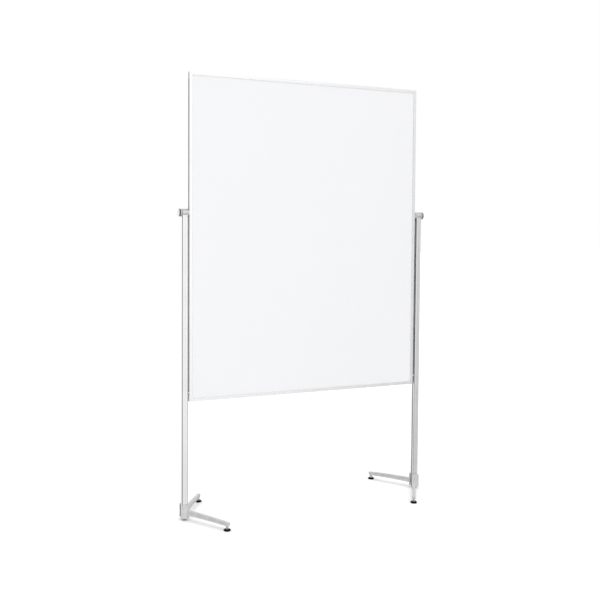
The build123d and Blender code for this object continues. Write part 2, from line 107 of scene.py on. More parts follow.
def arithmetic(tree, operation, first, second=0.0):
    """Result of a Math node; each value is a number or another node's output."""
    node = add_node(tree, "ShaderNodeMath", {"operation": operation})
    for socket, value in zip(node.inputs, (first, second)):
        connect(tree, socket, value)
    return node.outputs["Value"]


def vector_math(tree, operation, *vectors):
    """Outputs of a Vector Math node; each vector is three numbers or another node's output."""
    node = add_node(tree, "ShaderNodeVectorMath", {"operation": operation})
    for socket, value in zip(node.inputs, vectors):
        connect(tree, socket, value)
    return node.outputs


def blend_colour(tree, share, first, second, mode="MIX"):
    """Colour between first and second; each is three numbers or another node's output."""
    node = add_node(tree, "ShaderNodeMix", {"data_type": "RGBA", "blend_type": mode}, Factor=share)
    colours = [socket for socket in node.inputs if socket.type == "RGBA"]
    for socket, value in zip(colours, (first, second)):
        connect(tree, socket, (*value, 1) if isinstance(value, tuple) else value)
    return next(socket for socket in node.outputs if socket.type == "RGBA")


def scaled(colour, factor):
    """The colour made darker or brighter, up to white."""
    return tuple(min(1.0, factor * part) for part in colour)


def bump(tree, shader, height, distance, strength):
    """Surface relief; distance is in metres, the depth that a height of 1 stands for."""
    node = add_node(tree, "ShaderNodeBump", Height=height, Distance=distance, Strength=strength)
    tree.links.new(node.outputs["Normal"], shader.inputs["Normal"])


def edge_mask(tree, radius):
    """1 along edges sharper than radius and 0 on flat faces."""
    soft = add_node(tree, "ShaderNodeBevel", {"samples": 4}, Radius=radius).outputs["Normal"]
    flat = add_node(tree, "ShaderNodeNewGeometry").outputs["Normal"]
    likeness = vector_math(tree, "DOT_PRODUCT", soft, flat)["Value"]
    return spread(tree, likeness, 0.99, 0.86, 0, 1)


def painted_occlusion_shade(tree, colour, reach, deepest, unshaded_at):
    """Painted shade: darkens a colour, down to its share deepest, in creases, slots and gaps where less than
    the threshold share is open within reach.
    """
    open_share = add_node(tree, "ShaderNodeAmbientOcclusion", {"samples": 8}, Distance=reach).outputs["AO"]
    fade = 0.25
    free_of_dust_and_shade = spread(tree, open_share, unshaded_at - fade, unshaded_at, 0, 1)
    occlusion_shaded = blend_colour(tree, free_of_dust_and_shade, (deepest, deepest, deepest), (1, 1, 1))
    return blend_colour(tree, 1, colour, occlusion_shaded, "MULTIPLY")


SLOT_SKIN = 0.4 * MM
SLOT_HALF = 8.1 * MM


def edge_slot(tree):
    """1 in the board frame's channels, below its outer skin and near its middle plane, and 0 elsewhere."""
    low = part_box("frame_left")[0]
    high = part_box("frame_right")[1]
    middle = (low + high) / 2
    reach = (high - low) / 2
    place = add_node(tree, "ShaderNodeTexCoord").outputs["Object"]
    parts = add_node(tree, "ShaderNodeSeparateXYZ", Vector=place).outputs
    limits = (reach.x - SLOT_SKIN, SLOT_HALF, reach.z - SLOT_SKIN)
    within = []
    for axis, centre, limit in zip("XYZ", middle, limits):
        offset = arithmetic(tree, "ABSOLUTE", arithmetic(tree, "SUBTRACT", parts[axis], centre))
        within.append(arithmetic(tree, "LESS_THAN", offset, limit))
    return arithmetic(tree, "MULTIPLY", arithmetic(tree, "MULTIPLY", within[0], within[1]), within[2])


def paint(tree, shader, colour, roughness):
    """Gives the shader its colour and its roughness, both from other nodes."""
    tree.links.new(colour, shader.inputs["Base Color"])
    tree.links.new(roughness, shader.inputs["Roughness"])


def enamel():
    """Glossy white writing surface with faint wiping smudges and a trace of orange peel."""
    made, tree, shader = new_material("writing_enamel", Coat_Weight=0.8, Coat_Roughness=0.15)
    cloud = noise(tree, 2.2, 4)
    wiped = noise(tree, 3.0, 5, stretch=(1, 1, 6), turn=(0, radians(24), 0), roughness=0.62)
    specks = noise(tree, 420, 2)
    smudge = arithmetic(tree, "MULTIPLY", spread(tree, cloud, 0.35, 0.7, 0, 1), wiped)
    free_of_dust_and_shade = blend_colour(tree, smudge, (0.85, 0.853, 0.868), (0.843, 0.847, 0.863))
    dusty = blend_colour(tree, spread(tree, specks, 0.72, 0.8, 0, 0.25), free_of_dust_and_shade, (0.8, 0.804, 0.818))
    paint(tree, shader, dusty, spread(tree, smudge, 0.05, 0.6, 0.28, 0.34))
    bump(tree, shader, noise(tree, 260, 2), 0.06 * MM, 0.25)
    return made


def anodised(name, colour, stretch, metallic, shaded_slot=False):
    """Satin anodised extrusion; stretch is small along the bar, so its fine lines run that way."""
    made, tree, shader = new_material(name, Metallic=metallic)
    lines = noise(tree, 1500, 3, stretch=stretch, roughness=0.6)
    bands = noise(tree, 160, 2, stretch=stretch)
    haze = noise(tree, 9, 4)
    worn = edge_mask(tree, 0.5 * MM)
    bright = scaled(colour, 1.05)
    body = blend_colour(tree, spread(tree, bands, 0.3, 0.7, 0, 1), scaled(colour, 0.94), colour)
    streaked = blend_colour(tree, spread(tree, lines, 0.35, 0.75, 0, 0.5), body, bright)
    wear_and_any_slot_shade = blend_colour(tree, worn, streaked, bright)
    # Painted shade: the board frame's channels are painted near-black where they lie in shade.
    if shaded_slot:
        wear_and_any_slot_shade = blend_colour(tree, edge_slot(tree), wear_and_any_slot_shade, scaled(colour, 0.14))
    brushed = spread(tree, lines, 0.3, 0.7, 0.23, 0.3)
    rough = arithmetic(tree, "ADD", brushed, spread(tree, haze, 0.4, 0.7, 0, 0.05))
    # Painted shade: the extrusions are darkened in their slots and creases and where they run close to other
    # parts.
    paint(tree, shader, painted_occlusion_shade(tree, wear_and_any_slot_shade, reach=13 * MM, deepest=0.05, unshaded_at=0.5), rough)
    bump(tree, shader, lines, 0.012 * MM, 0.6)
    return made


def turned(name, colour, stretch, roughness):
    """Turned satin metal: fine tool marks and brighter edges."""
    made, tree, shader = new_material(name, Metallic=1.0)
    marks = noise(tree, 2200, 2, stretch=stretch)
    haze = noise(tree, 70, 3)
    worn = edge_mask(tree, 0.6 * MM)
    body = blend_colour(tree, spread(tree, haze, 0.35, 0.7, 0, 1), scaled(colour, 0.9), colour)
    wear_and_any_slot_shade = blend_colour(tree, worn, body, scaled(colour, 1.1))
    paint(tree, shader, wear_and_any_slot_shade, spread(tree, marks, 0.3, 0.7, roughness - 0.05, roughness + 0.07))
    bump(tree, shader, marks, 0.01 * MM, 0.6)
    return made


def cast(name, colour):
    """Silver powder coat over a casting: fine peel, soft waviness, thin coat on the edges."""
    made, tree, shader = new_material(name, Metallic=0.65, Coat_Weight=0.15, Coat_Roughness=0.3)
    peel = noise(tree, 900, 3)
    waves = noise(tree, 55, 3)
    flakes = noise(tree, 3800, 1)
    worn = edge_mask(tree, 1.2 * MM)
    bright = scaled(colour, 1.18)
    body = blend_colour(tree, spread(tree, waves, 0.3, 0.7, 0, 1), scaled(colour, 0.88), colour)
    flecked = blend_colour(tree, spread(tree, flakes, 0.6, 0.75, 0, 0.5), body, bright)
    wear_and_any_slot_shade = blend_colour(tree, arithmetic(tree, "MULTIPLY", worn, 0.5), flecked, bright)
    # Painted shade: the castings are darkened in creases and where they meet the posts and other parts.
    occlusion_shaded = painted_occlusion_shade(tree, wear_and_any_slot_shade, reach=12 * MM, deepest=0.25, unshaded_at=0.62)
    paint(tree, shader, occlusion_shaded, spread(tree, peel, 0.3, 0.7, 0.36, 0.5))
    bump(tree, shader, arithmetic(tree, "ADD", peel, arithmetic(tree, "MULTIPLY", waves, 2)), 0.05 * MM, 0.5)
    return made


def zinc():
    """Zinc-plated steel with a faint cold and warm bloom."""
    made, tree, shader = new_material("zinc_steel", Metallic=1.0)
    bloom = noise(tree, 240, 3)
    grain = noise(tree, 2600, 2)
    worn = edge_mask(tree, 0.3 * MM)
    body = blend_colour(tree, spread(tree, bloom, 0.3, 0.7, 0, 1), (0.56, 0.58, 0.61), (0.68, 0.67, 0.63))
    wear_and_any_slot_shade = blend_colour(tree, worn, body, (0.8, 0.81, 0.82))
    paint(tree, shader, wear_and_any_slot_shade, spread(tree, grain, 0.3, 0.7, 0.26, 0.42))
    bump(tree, shader, grain, 0.01 * MM, 0.5)
    return made


def plastic(name, colour, roughness, grain_scale=1400, grain_depth=0.02 * MM, dust=0.0, shine=0.5):
    """Moulded plastic or rubber with a fine grain; dust lightens it in soft patches and on its edges."""
    made, tree, shader = new_material(name, Specular_IOR_Level=shine)
    grain = noise(tree, grain_scale, 3)
    patches = noise(tree, 120, 3)
    light = tuple(min(1.0, part * 1.12 + dust) for part in colour)
    tone = blend_colour(tree, spread(tree, patches, 0.35, 0.75, 0, 1), colour, light)
    scuffed = blend_colour(tree, arithmetic(tree, "MULTIPLY", edge_mask(tree, 0.4 * MM), 0.4), tone, light)
    paint(tree, shader, scuffed, spread(tree, patches, 0.3, 0.7, roughness - 0.06, roughness + 0.08))
    bump(tree, shader, grain, grain_depth, 0.8)
    return made


def honeycomb():
    """Kraft paper honeycomb: hexagonal cells seen end on, in brown paper, with painted shade inside the
    cells.
    """
    made, tree, shader = new_material("honeycomb_core")
    place = add_node(tree, "ShaderNodeTexCoord").outputs["Object"]
    flat = add_node(tree, "ShaderNodeMapping", Vector=place, Scale=(1, 0.001, 1))
    cells = add_node(
        tree, "ShaderNodeTexVoronoi", {"feature": "DISTANCE_TO_EDGE"},
        Vector=flat.outputs["Vector"], Scale=75, Randomness=0.15,
    )
    wall = spread(tree, cells.outputs["Distance"], 0.02, 0.07, 1, 0)
    fibre = noise(tree, 700, 4)
    paper = blend_colour(tree, fibre, (0.42, 0.32, 0.2), (0.58, 0.46, 0.31))
    # Painted shade: the insides of the cells are painted dark, for the shade down the open cells.
    tone = blend_colour(tree, wall, (0.12, 0.09, 0.06), paper)
    paint(tree, shader, tone, spread(tree, fibre, 0.3, 0.7, 0.75, 0.95))
    bump(tree, shader, wall, 0.8 * MM, 0.7)
    return made


ALONG_X = (0.01, 1, 1)
ALONG_Z = (1, 1, 0.01)
FRAME_COLOUR = (0.95, 0.95, 0.955)
POST_COLOUR = (0.92, 0.922, 0.925)
MATERIALS = {
    "writing_enamel": enamel(),
    "honeycomb_core": honeycomb(),
    "frame_level": anodised("frame_anodised_level", FRAME_COLOUR, ALONG_X, 0.85, shaded_slot=True),
    "frame_upright": anodised("frame_anodised_upright", FRAME_COLOUR, ALONG_Z, 0.85, shaded_slot=True),
    "post_anodised": anodised("post_anodised", POST_COLOUR, ALONG_Z, 1.0),
    "clamp_silver": turned("clamp_silver", (0.74, 0.745, 0.75), (1, 0.02, 0.02), 0.32),
    "cap_silver": turned("cap_silver", (0.9, 0.905, 0.91), (1, 1, 1), 0.3),
    "cast_silver": cast("cast_silver", (0.76, 0.765, 0.77)),
    "zinc_steel": zinc(),
    "slider_plastic": plastic("slider_plastic", (0.74, 0.745, 0.75), 0.5),
    "plug_plastic": plastic("plug_plastic", (0.1, 0.103, 0.106), 0.55),
    "grip_rubber": plastic("grip_rubber", (0.05, 0.05, 0.052), 0.55, 2200, 0.03 * MM, dust=0.01),
    "glide_black": plastic(
        "glide_black", (0.004, 0.004, 0.0045), 0.5, 1800, 0.025 * MM, dust=0.002, shine=0.12,
    ),
}


# ---------------------------------------------------------------- mesh helpers

def rounded(corners, steps=5):
    """Points of an outline whose corners are (a, b, radius); radius 0 keeps the corner sharp."""
    points = []
    for index, (a, b, radius) in enumerate(corners):
        if radius == 0 or index in (0, len(corners) - 1):
            points.append((a, b))
            continue
        here = Vector((a, b))
        back = (Vector(corners[index - 1][:2]) - here).normalized()
        ahead = (Vector(corners[index + 1][:2]) - here).normalized()
        half = back.angle(ahead) / 2
        centre = here + (back + ahead).normalized() * (radius / sin(half))
        first = (here + back * (radius / tan(half)) - centre).normalized()
        last = (here + ahead * (radius / tan(half)) - centre).normalized()
        points += [tuple(centre + first.slerp(last, step / steps) * radius) for step in range(steps + 1)]
    return points


def loft(rings, capped=True):
    """Vertices and faces of a skin over rings of equal length, with flat caps or open ends."""
    count = len(rings[0])
    vertices = [point for ring in rings for point in ring]
    faces = []
    for row in range(len(rings) - 1):
        for column in range(count):
            beside = (column + 1) % count
            low, high = row * count, (row + 1) * count
            faces.append((low + column, low + beside, high + beside, high + column))
    if capped:
        faces.append(tuple(reversed(range(count))))
        faces.append(tuple(range((len(rings) - 1) * count, len(rings) * count)))
    return vertices, faces


def lathe(profile, segments, shape=None, capped=True):
    """Skin of a profile of (radius, height) points turned about local Z; shape may change a radius."""
    rings = []
    for radius, height in profile:
        ring = []
        for step in range(segments):
            angle = 2 * pi * step / segments
            reach = shape(radius, height, angle) if shape else radius
            ring.append(Vector((reach * cos(angle), reach * sin(angle), height)))
        rings.append(ring)
    return loft(rings, capped)


def build(name, parts, place=Matrix.Identity(4), smooth_angle=32):
    """One object from several (vertices, faces) skins, put in place and shaded smooth below the angle."""
    vertices, faces = [], []
    for part_vertices, part_faces in parts:
        start = len(vertices)
        vertices += [place @ Vector(point) for point in part_vertices]
        faces += [tuple(start + corner for corner in face) for face in part_faces]
    if place.determinant() < 0:
        faces = [tuple(reversed(face)) for face in faces]
    mesh = bpy.data.meshes.new(name)
    mesh.from_pydata(vertices, [], faces)
    mesh.validate()
    mesh.shade_smooth()
    mesh.set_sharp_from_angle(angle=radians(smooth_angle))
    made = bpy.data.objects.new(name, mesh)
    bpy.context.scene.collection.objects.link(made)
    return made


def finish_piece(piece, finish, body, *nodes):
    """Gives a piece its material and its body, and hides the CAD nodes it stands for."""
    piece.data.materials.append(MATERIALS[finish])
    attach(piece, body)
    if nodes:
        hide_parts(*nodes)


def modified(piece, *steps):
    """Adds modifiers, each given as (type, settings), and applies them to the mesh."""
    for kind, settings in steps:
        modifier = piece.modifiers.new(kind, kind)
        for key, value in settings.items():
            setattr(modifier, key, value)
    bpy.context.view_layer.update()
    evaluated = piece.evaluated_get(bpy.context.evaluated_depsgraph_get())
    result = bpy.data.meshes.new_from_object(evaluated)
    piece.modifiers.clear()
    piece.data = result
    return piece


def thread(radius, low, high, pitch, depth, segments=48):
    """Skin of a screw thread about local Z, with a true helix that fades out at its ends."""
    rows_per_turn = 10
    rows = int((high - low) / pitch * rows_per_turn) + 1
    rings = []
    for row in range(rows + 1):
        height = low + (high - low) * row / rows
        fade = min(1.0, (high - height) / pitch, (height - low) / pitch + 0.2)
        ring = []
        for step in range(segments):
            turn = step / segments
            phase = (height / pitch - turn) % 1
            flank = abs(2 * phase - 1)
            reach = radius - depth * (1 - min(1.0, 1.35 * flank)) * fade - depth * (1 - fade) * 0.4
            ring.append(Vector((reach * cos(2 * pi * turn), reach * sin(2 * pi * turn), height)))
        rings.append(ring)
    return loft(rings)


def hexagon(flats, angle):
    """Radius at an angle of a hexagon measured across its flats."""
    return flats / 2 / cos((angle + pi / 6) % (pi / 3) - pi / 6)


# ---------------------------------------------------------------- frame sizes

POST_LOW, POST_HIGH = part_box("post_right")
POST_X = (POST_LOW.x + POST_HIGH.x) / 2
POST_HALF = (POST_HIGH.x - POST_LOW.x) / 2
HEAD_LOW, HEAD_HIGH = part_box("clamp_head_right")
CLAMP_R = HEAD_HIGH.y
CLAMP_Z = HEAD_HIGH.z - CLAMP_R


def outward(side, height):
    """Placement whose local Z points outwards from the board's middle, at a height above the floor."""
    turn = Matrix(((0, 0, side, 0), (0, side, 0, 0), (-1, 0, 0, 0), (0, 0, 0, 1)))
    return Matrix.Translation((0, 0, height)) @ turn


def span(node):
    """Smallest and largest distance of a CAD node from the board's middle, along the board."""
    low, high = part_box(node)
    return min(abs(low.x), abs(high.x)), max(abs(low.x), abs(high.x))


# ---------------------------------------------------------------- clamps and knobs

def clamp_head(name, side):
    """Turned head with a relieved collar at each end."""
    node = f"clamp_head_{name}"
    inner, outer = span(node)
    bore = 3.15 * MM
    collar = 1.6 * MM
    relief = CLAMP_R - 1.0 * MM
    profile = rounded([
        (bore, inner, 0), (CLAMP_R - collar, inner, 0.5 * MM), (relief, inner + 0.9 * MM, 0.2 * MM),
        (CLAMP_R, inner + collar, 0.6 * MM), (CLAMP_R, outer - collar, 0.6 * MM),
        (relief, outer - 0.9 * MM, 0.2 * MM), (CLAMP_R - collar, outer, 0.5 * MM),
        (bore, outer, 0), (bore, inner, 0),
    ])
    skin = lathe(profile, 128, capped=False)
    head = build(f"clamp_head_turned_{name}", [skin], outward(side, CLAMP_Z))
    finish_piece(head, "clamp_silver", f"{name}_stand", node)


def clamp_stub(name, side):
    """Bevelled block under the head, inside the post and clear of the post's slot."""
    half_x = 9.35 * MM
    half_y = 11.5 * MM
    cut = 5 * MM
    soft = 1 * MM
    outline = rounded([
        (0, -half_y, 0), (half_x - cut, -half_y, soft), (half_x, -half_y + cut, soft),
        (half_x, half_y - cut, soft), (half_x - cut, half_y, soft), (-half_x + cut, half_y, soft),
        (-half_x, half_y - cut, soft), (-half_x, -half_y + cut, soft), (-half_x + cut, -half_y, soft),
        (0, -half_y, 0),
    ])[:-1]
    off_centre = 2.15 * MM
    centre_x = side * (POST_X + off_centre)
    levels = (HEAD_LOW.z, CLAMP_Z - CLAMP_R / 2)
    skin = loft([[Vector((centre_x + a, b, height)) for a, b in outline] for height in levels])
    stub = build(f"clamp_stub_{name}", [skin])
    finish_piece(stub, "clamp_silver", f"{name}_stand")


def knob(name, side):
    """Knob body with a turned groove, a ribbed rubber ring and a domed cap."""
    body = f"knob_{name}"
    inner, seat_end = span(f"knob_body_{name}")
    ring_start, ring_end = span(f"knob_grip_ring_{name}")
    outer = span(f"knob_cap_{name}")[1]
    place = outward(side, CLAMP_Z)
    ring_seat = 14.5 * MM
    groove = 0.35 * MM
    middle = (inner + ring_start) / 2
    body_profile = rounded([
        (0, inner, 0), (CLAMP_R - 0.8 * MM, inner, 0.3 * MM), (CLAMP_R, inner + 0.9 * MM, 0.5 * MM),
        (CLAMP_R, middle - 0.9 * MM, 0.12 * MM), (CLAMP_R - groove, middle - 0.55 * MM, 0.12 * MM),
        (CLAMP_R - groove, middle + 0.55 * MM, 0.12 * MM), (CLAMP_R, middle + 0.9 * MM, 0.12 * MM),
        (CLAMP_R, ring_start - 0.6 * MM, 0.3 * MM), (CLAMP_R - 0.6 * MM, ring_start, 0.2 * MM),
        (ring_seat, ring_start, 0), (ring_seat, seat_end, 0), (0, seat_end, 0),
    ])
    piece = build(f"knob_turned_{name}", [lathe(body_profile, 128)], place)
    finish_piece(piece, "clamp_silver", body, f"knob_body_{name}", f"knob_insert_{name}")

    ribs = 72
    rib_depth = 0.5 * MM
    rib_root = 16 * MM
    gap = 0.02 * MM
    grip_r = CLAMP_R - 0.15 * MM
    ring_profile = rounded([
        (ring_seat, ring_start + gap, 0), (grip_r - 0.5 * MM, ring_start + gap, 0.1 * MM),
        (grip_r, ring_start + 0.5 * MM, 0.3 * MM), (grip_r, ring_end - 0.5 * MM, 0.3 * MM),
        (grip_r - 0.5 * MM, ring_end - gap, 0.1 * MM), (ring_seat, ring_end - gap, 0),
    ])

    def ribbed(radius, height, angle):
        if radius <= rib_root:
            return radius
        wave = 0.5 + 0.5 * cos(ribs * angle)
        return radius - rib_depth * (1 - wave ** 0.6)

    grip = build(f"grip_ring_ribbed_{name}", [lathe(ring_profile, ribs * 8, ribbed)], place)
    finish_piece(grip, "grip_rubber", body, f"knob_grip_ring_{name}")

    dish = 0.35 * MM
    cap_profile = rounded([
        (0, ring_end, 0), (CLAMP_R - 0.3 * MM, ring_end, 0.2 * MM), (CLAMP_R, ring_end + 0.4 * MM, 0.2 * MM),
        (CLAMP_R, ring_end + 1.0 * MM, 0.8 * MM), (CLAMP_R - 1.6 * MM, outer - 0.25 * MM, 1.4 * MM),
        (12.2 * MM, outer, 0.4 * MM), (11.6 * MM, outer - dish, 0.4 * MM),
        (10.4 * MM, outer - dish, 0.4 * MM), (9.8 * MM, outer - 0.05 * MM, 0.4 * MM), (0, outer, 0),
    ])
    cap = build(f"knob_cap_domed_{name}", [lathe(cap_profile, 128)], place)
    finish_piece(cap, "cap_silver", body, f"knob_cap_{name}")


def friction_washer(name, side):
    """Plastic washer with rounded rims and twelve shallow notches around it."""
    node = f"clamp_pad_{name}"
    inner, outer = span(node)
    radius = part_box(node)[1].y
    bore = 3.3 * MM
    rim = 0.4 * MM
    profile = rounded([
        (bore, inner, 0), (radius - rim, inner, 0.1 * MM), (radius, inner + rim, 0.25 * MM),
        (radius, outer - rim, 0.25 * MM), (radius - rim, outer, 0.1 * MM), (bore, outer, 0),
    ])
    notches = 12
    notch_depth = 0.35 * MM

    def notched(reach, height, angle):
        return reach - notch_depth if reach > 12 * MM and cos(notches * angle) > 0.9 else reach

    piece = build(f"friction_washer_{name}", [lathe(profile, 144, notched)], outward(side, CLAMP_Z))
    finish_piece(piece, "slider_plastic", f"{name}_stand", node)


# ---------------------------------------------------------------- legs

# Sizes of the castings; heights are above the floor.
MOUNTS = {mount["name"]: Vector(mount["pos_m"]) for mount in frame["record"]["mounts"]}
POST_FOOT = Vector((POST_X, 0, 0))
LEG_REACH = (MOUNTS["foot_right_front_base"] - POST_FOOT).length
LEG_NOSE = 14 * MM
HUB_LOW, HUB_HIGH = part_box("leg_right_front")
HUB_BOTTOM, HUB_TOP = HUB_LOW.z, HUB_HIGH.z
FLANGE_HALF = HUB_HIGH.x - POST_X
FLANGE_T = 8.5 * MM
FLANGE_STEP = 1.5 * MM
FLANGE_PAD_HALF = 8 * MM
PAD_GROOVE = 1.6 * MM
ARM_ROOT_Z = (23 * MM, 46.5 * MM)
ARM_TIP_Z = (20.5 * MM, 37 * MM)
ARM_HALF = 8.6 * MM
ARM_BOW = 2.4 * MM
ARM_SHOULDER = 0.9
ROOT_FLARE = 2.5 * MM
FLARE_SHARE = 0.12
NOSE_LENGTH = 5 * MM
NOSE_SETBACK = 0.4 * MM
NOSE_SLOPE = 0.36
NOSE_SHRINK = 0.14
BOSS_LOW = 16 * MM
BOSS_HIGH = 27 * MM
STUD_HOLE_LOW = Vector((0, 0, 5 * MM))
STUD_HOLE_HIGH = Vector((0, 0, 35.8 * MM))
STUD_HOLE_R = 4.15 * MM
BOLT_Z = (16 * MM, 62 * MM)
BOLT_SEAT = POST_HALF + FLANGE_T - 5.2 * MM
BOLT_HOLE_R = 2.6 * MM
COUNTERBORE_R = 4.6 * MM
VOXEL = 0.55 * MM


def foot_base(end):
    """Where the right stand's front or rear foot meets the floor."""
    end_name = "front" if end < 0 else "rear"
    return MOUNTS[f"foot_right_{end_name}_base"]


def arm_section(share):
    """Section across the arm at a share of its length: crowned top, ridged flanks, flared root."""
    bow = 4 * ARM_BOW * share * (1 - share)
    flare = ROOT_FLARE * max(0.0, 1 - share / FLARE_SHARE) ** 2
    low = ARM_ROOT_Z[0] + (ARM_TIP_Z[0] - ARM_ROOT_Z[0]) * share + bow - 0.5 * flare
    high = ARM_ROOT_Z[1] + (ARM_TIP_Z[1] - ARM_ROOT_Z[1]) * share + bow + flare
    half = ARM_HALF + 0.6 * flare
    shoulder = half * ARM_SHOULDER
    ridge = (low + high) / 2
    corners = [
        (0, low, 0), (shoulder, low, 1.4 * MM), (half, ridge, 3 * MM), (shoulder, high, 1.6 * MM),
        (0, high + 0.3 * MM, 5 * MM), (-shoulder, high, 1.6 * MM), (-half, ridge, 3 * MM),
        (-shoulder, low, 1.4 * MM), (0, low, 0),
    ]
    return rounded(corners, 4)[:-1]


def arm_skin(end):
    """Bowed, tapering arm of the right-hand stand with a sloping nose."""
    along = (foot_base(end) - POST_FOOT).normalized()
    across = Vector((0, 0, 1)).cross(along)
    length = LEG_REACH + LEG_NOSE
    start = (POST_HALF + 1 * MM) / (end * along.y) / length
    middle = (ARM_TIP_Z[0] + ARM_TIP_Z[1]) / 2
    stations = 48
    rings = []
    for step in range(stations + 1):
        share = start + (1 - start) * step / stations
        to_nose = max(0.0, 1 - (1 - share) * length / NOSE_LENGTH)
        shrink = 1 - NOSE_SHRINK * to_nose ** 2
        ring = []
        for aside, height in arm_section(share):
            lean = NOSE_SLOPE * (ARM_TIP_Z[1] - height) * to_nose
            reach = share * length - NOSE_SETBACK - lean
            lift = middle + (height - middle) * shrink
            ring.append(POST_FOOT + along * reach + across * (aside * shrink) + Vector((0, 0, lift)))
        rings.append(ring)
    return loft(rings)


def boss_skin(end):
    """Cone under the arm's tip that holds the glide's stud."""
    profile = rounded([
        (0, BOSS_LOW, 0), (6.6 * MM, BOSS_LOW, 0.7 * MM), (8.2 * MM, BOSS_HIGH, 0.5 * MM), (0, BOSS_HIGH, 0),
    ])
    vertices, faces = lathe(profile, 64)
    return [point + foot_base(end) for point in vertices], faces


def flange_skin(end):
    """Flange against the post, with rounded outer edges and a raised middle between two grooves."""
    back = POST_HALF
    front = POST_HALF + FLANGE_T
    step = front - FLANGE_STEP
    groove_edge = FLANGE_PAD_HALF + PAD_GROOVE
    groove_middle = FLANGE_PAD_HALF + PAD_GROOVE / 2
    groove_floor = step - PAD_GROOVE
    outline = rounded([
        (0, back, 0), (FLANGE_HALF, back, 0.4 * MM), (FLANGE_HALF, step, 3 * MM),
        (groove_edge, step, 0), (groove_middle, groove_floor, 0),
        (FLANGE_PAD_HALF, front, 0.3 * MM), (-FLANGE_PAD_HALF, front, 0.3 * MM),
        (-groove_middle, groove_floor, 0), (-groove_edge, step, 0),
        (-FLANGE_HALF, step, 3 * MM), (-FLANGE_HALF, back, 0.4 * MM), (0, back, 0),
    ], 8)[:-1]
    middle = POST_HALF + FLANGE_T / 2
    edge = 0.9 * MM
    levels = ((HUB_BOTTOM, edge), (HUB_BOTTOM + edge, 0), (HUB_TOP - edge, 0), (HUB_TOP, edge))
    rings = []
    for height, inset in levels:
        shrink_x = 1 - inset / FLANGE_HALF
        shrink_y = 1 - inset / (FLANGE_T / 2)
        rings.append([
            Vector((POST_X + a * shrink_x, end * (middle + (b - middle) * shrink_y), height))
            for a, b in outline
        ])
    return loft(rings)


def leg_blank(end):
    """One casting of the right-hand stand: arm, boss and flange melted together with soft corners."""
    blank = build("blank", [arm_skin(end), boss_skin(end), flange_skin(end)])
    return modified(
        blank,
        ("REMESH", {"mode": "VOXEL", "voxel_size": VOXEL, "use_smooth_shade": True}),
        ("SMOOTH", {"factor": 0.5, "iterations": 3}),
        ("DECIMATE", {"ratio": 0.22}),
    )


def hole_cutter(start, end, radius):
    """Closed cylinder between two points, for cutting a hole."""
    segments = 48
    axis = (end - start).normalized()
    aside = axis.orthogonal().normalized()
    up = axis.cross(aside)
    rings = []
    for centre in (start, end):
        angles = [2 * pi * step / segments for step in range(segments)]
        rings.append([centre + (aside * cos(angle) + up * sin(angle)) * radius for angle in angles])
    return build("cut", [loft(rings)])


def leg_cutters(end):
    """The stud's hole, and at the rear the counterbores and holes of the two bolts."""
    foot = foot_base(end)
    cutters = [hole_cutter(foot + STUD_HOLE_LOW, foot + STUD_HOLE_HIGH, STUD_HOLE_R)]
    if end > 0:
        for height in BOLT_Z:
            seat = Vector((POST_X, BOLT_SEAT, height))
            inside = Vector((POST_X, POST_HALF - 3 * MM, height))
            outside = Vector((POST_X, POST_HALF + FLANGE_T + 3 * MM, height))
            cutters.append(hole_cutter(seat, outside, COUNTERBORE_R))
            cutters.append(hole_cutter(inside, outside, BOLT_HOLE_R))
    return cutters


def legs():
    """Front and rear castings of the right stand, mirrored to the left stand."""
    for end_name, end in ENDS.items():
        blank = leg_blank(end)
        for cutter in leg_cutters(end):
            modified(blank, ("BOOLEAN", {"operation": "DIFFERENCE", "solver": "EXACT", "object": cutter}))
            bpy.data.objects.remove(cutter)
        vertices = [vertex.co for vertex in blank.data.vertices]
        faces = [tuple(polygon.vertices) for polygon in blank.data.polygons]
        for side_name, side in SIDES.items():
            mirror = Matrix.Diagonal((side, 1, 1, 1))
            leg = build(f"leg_casting_{side_name}_{end_name}", [(vertices, faces)], mirror, 50)
            finish_piece(leg, "cast_silver", f"{side_name}_stand", f"leg_{side_name}_{end_name}")
        bpy.data.objects.remove(blank)


def leg_bolts(name, side):
    """Socket-head bolts: knurled heads with a hexagon socket, plain shanks and threaded ends."""
    head_r = 4.25 * MM
    head_h = 5 * MM
    knurl_low = 0.9 * MM
    knurl_high = head_h - 0.9 * MM
    knurls = 36
    knurl_depth = 0.12 * MM
    socket_flats = 4.0 * MM
    socket_r = 2.2 * MM
    socket_floor = head_h - 2.6 * MM
    shank = 2.5 * MM
    length = BOLT_SEAT + POST_HALF + FLANGE_T - 2 * MM
    thread_start = -length + 16 * MM

    def shape(radius, height, angle):
        if radius == socket_r:
            return hexagon(socket_flats, angle)
        if radius == head_r and knurl_low <= height <= knurl_high:
            return radius - knurl_depth * (0.5 - 0.5 * cos(knurls * angle))
        return radius

    profile = [
        (shank, thread_start), (shank, 0), (head_r - 0.2 * MM, 0), (head_r, 0.3 * MM), (head_r, 0.7 * MM),
        (head_r, knurl_low), (head_r, knurl_high), (head_r, head_h - 0.6 * MM),
        (head_r - 0.15 * MM, head_h - 0.2 * MM), (head_r - 0.5 * MM, head_h), (2.5 * MM, head_h),
        (socket_r, head_h - 0.25 * MM), (socket_r, socket_floor), (0.01 * MM, socket_floor - 0.8 * MM),
    ]
    head = lathe(profile, 144, shape)
    screw = thread(shank, -length, thread_start + 0.2 * MM, 0.8 * MM, 0.4 * MM)
    skins = []
    for height in BOLT_Z:
        place = Matrix.Translation((side * POST_X, BOLT_SEAT, height)) @ Matrix.Rotation(-pi / 2, 4, "X")
        for vertices, faces in (head, screw):
            skins.append(([place @ point for point in vertices], faces))
    piece = build(f"socket_bolts_{name}", skins)
    finish_piece(piece, "zinc_steel", f"{name}_stand", f"leg_bolts_{name}")


# ---------------------------------------------------------------- levelling glides

